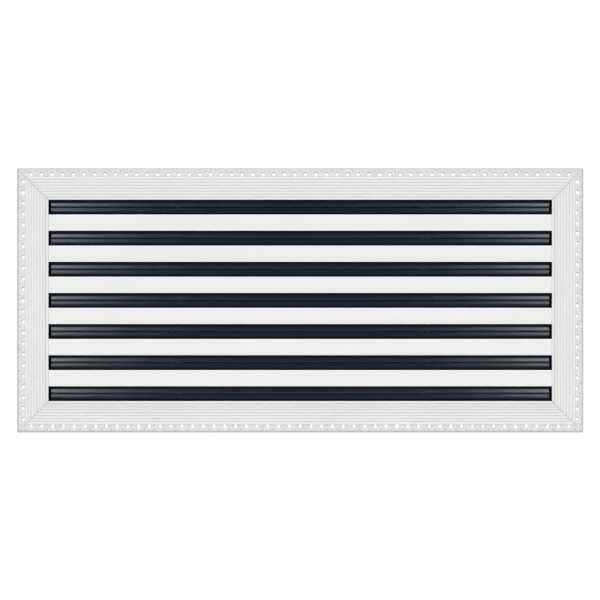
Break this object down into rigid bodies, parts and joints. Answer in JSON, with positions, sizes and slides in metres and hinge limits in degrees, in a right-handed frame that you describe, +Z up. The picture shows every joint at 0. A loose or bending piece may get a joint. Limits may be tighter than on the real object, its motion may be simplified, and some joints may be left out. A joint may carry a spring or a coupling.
{
  "type": "plaster-in linear slot air grille",
  "caption": "Rectangular wall or ceiling air grille with parallel slots, paired black hinged vanes and a perforated, ribbed plaster-in flange with mitred corners.",
  "frame": {"origin": "centre of the slotted opening and of the corner fixing holes, on the plane of the flange's back face, which lies on the wall", "axes": "+X along the slots to the right seen from the room, +Z up, +Y into the wall; the finished face looks along -Y"},
  "size_m": [0.5716, 0.0372, 0.2666],
  "materials": {
    "white_coat": "satin white powder coat",
    "black_coat": "semi-gloss blue-black coat",
    "black_plastic": "moulded matt black",
    "mill_aluminium": "mill",
    "zinc_steel": "zinc plated"
  },
  "bodies": {
    "frame": {"frame_top": "white_coat", "frame_bottom": "white_coat", "frame_left": "white_coat", "frame_right": "white_coat", "corner_cleat_top_left": "mill_aluminium", "corner_cleat_top_right": "mill_aluminium", "corner_cleat_bottom_left": "mill_aluminium", "corner_cleat_bottom_right": "mill_aluminium", "corner_rivets": "mill_aluminium", "t_bar_1": "white_coat", "t_bar_2": "white_coat", "t_bar_3": "white_coat", "t_bar_4": "white_coat", "t_bar_5": "white_coat", "t_bar_6": "white_coat", "t_bar_screws_left": "zinc_steel", "t_bar_screws_right": "zinc_steel", "end_holder_left_1": "black_plastic", "end_holder_left_2": "black_plastic", "end_holder_left_3": "black_plastic", "end_holder_left_4": "black_plastic", "end_holder_left_5": "black_plastic", "end_holder_left_6": "black_plastic", "end_holder_left_7": "black_plastic", "end_holder_right_1": "black_plastic", "end_holder_right_2": "black_plastic", "end_holder_right_3": "black_plastic", "end_holder_right_4": "black_plastic", "end_holder_right_5": "black_plastic", "end_holder_right_6": "black_plastic", "end_holder_right_7": "black_plastic", "tie_rod_left": "mill_aluminium", "tie_rod_right": "mill_aluminium", "spacer_tubes_left": "mill_aluminium", "spacer_tubes_right": "mill_aluminium", "tie_rod_screws": "zinc_steel"},
    "upper_vane_1": {"upper_vane_1": "black_coat"},
    "upper_vane_2": {"upper_vane_2": "black_coat"},
    "upper_vane_3": {"upper_vane_3": "black_coat"},
    "upper_vane_4": {"upper_vane_4": "black_coat"},
    "upper_vane_5": {"upper_vane_5": "black_coat"},
    "upper_vane_6": {"upper_vane_6": "black_coat"},
    "upper_vane_7": {"upper_vane_7": "black_coat"},
    "lower_vane_1": {"lower_vane_1": "black_coat"},
    "lower_vane_2": {"lower_vane_2": "black_coat"},
    "lower_vane_3": {"lower_vane_3": "black_coat"},
    "lower_vane_4": {"lower_vane_4": "black_coat"},
    "lower_vane_5": {"lower_vane_5": "black_coat"},
    "lower_vane_6": {"lower_vane_6": "black_coat"},
    "lower_vane_7": {"lower_vane_7": "black_coat"}
  },
  "joints": [
    {"name": "upper_vane_1_hinge", "type": "hinge", "parent": "frame", "child": "upper_vane_1", "pos_m": [0, 0.0034, 0.10406], "axis": [1, 0, 0], "range_deg": [0, 70]},
    {"name": "lower_vane_1_hinge", "type": "hinge", "parent": "frame", "child": "lower_vane_1", "pos_m": [0, 0.0034, 0.08426], "axis": [-1, 0, 0], "range_deg": [0, 70]},
    {"name": "upper_vane_2_hinge", "type": "hinge", "parent": "frame", "child": "upper_vane_2", "pos_m": [0, 0.0034, 0.07267], "axis": [1, 0, 0], "range_deg": [0, 70]},
    {"name": "lower_vane_2_hinge", "type": "hinge", "parent": "frame", "child": "lower_vane_2", "pos_m": [0, 0.0034, 0.05287], "axis": [-1, 0, 0], "range_deg": [0, 70]},
    {"name": "upper_vane_3_hinge", "type": "hinge", "parent": "frame", "child": "upper_vane_3", "pos_m": [0, 0.0034, 0.04129], "axis": [1, 0, 0], "range_deg": [0, 70]},
    {"name": "lower_vane_3_hinge", "type": "hinge", "parent": "frame", "child": "lower_vane_3", "pos_m": [0, 0.0034, 0.02149], "axis": [-1, 0, 0], "range_deg": [0, 70]},
    {"name": "upper_vane_4_hinge", "type": "hinge", "parent": "frame", "child": "upper_vane_4", "pos_m": [0, 0.0034, 0.0099], "axis": [1, 0, 0], "range_deg": [0, 70]},
    {"name": "lower_vane_4_hinge", "type": "hinge", "parent": "frame", "child": "lower_vane_4", "pos_m": [0, 0.0034, -0.0099], "axis": [-1, 0, 0], "range_deg": [0, 70]},
    {"name": "upper_vane_5_hinge", "type": "hinge", "parent": "frame", "child": "upper_vane_5", "pos_m": [0, 0.0034, -0.02149], "axis": [1, 0, 0], "range_deg": [0, 70]},
    {"name": "lower_vane_5_hinge", "type": "hinge", "parent": "frame", "child": "lower_vane_5", "pos_m": [0, 0.0034, -0.04129], "axis": [-1, 0, 0], "range_deg": [0, 70]},
    {"name": "upper_vane_6_hinge", "type": "hinge", "parent": "frame", "child": "upper_vane_6", "pos_m": [0, 0.0034, -0.05287], "axis": [1, 0, 0], "range_deg": [0, 70]},
    {"name": "lower_vane_6_hinge", "type": "hinge", "parent": "frame", "child": "lower_vane_6", "pos_m": [0, 0.0034, -0.07267], "axis": [-1, 0, 0], "range_deg": [0, 70]},
    {"name": "upper_vane_7_hinge", "type": "hinge", "parent": "frame", "child": "upper_vane_7", "pos_m": [0, 0.0034, -0.08426], "axis": [1, 0, 0], "range_deg": [0, 70]},
    {"name": "lower_vane_7_hinge", "type": "hinge", "parent": "frame", "child": "lower_vane_7", "pos_m": [0, 0.0034, -0.10406], "axis": [-1, 0, 0], "range_deg": [0, 70]}
  ]
}
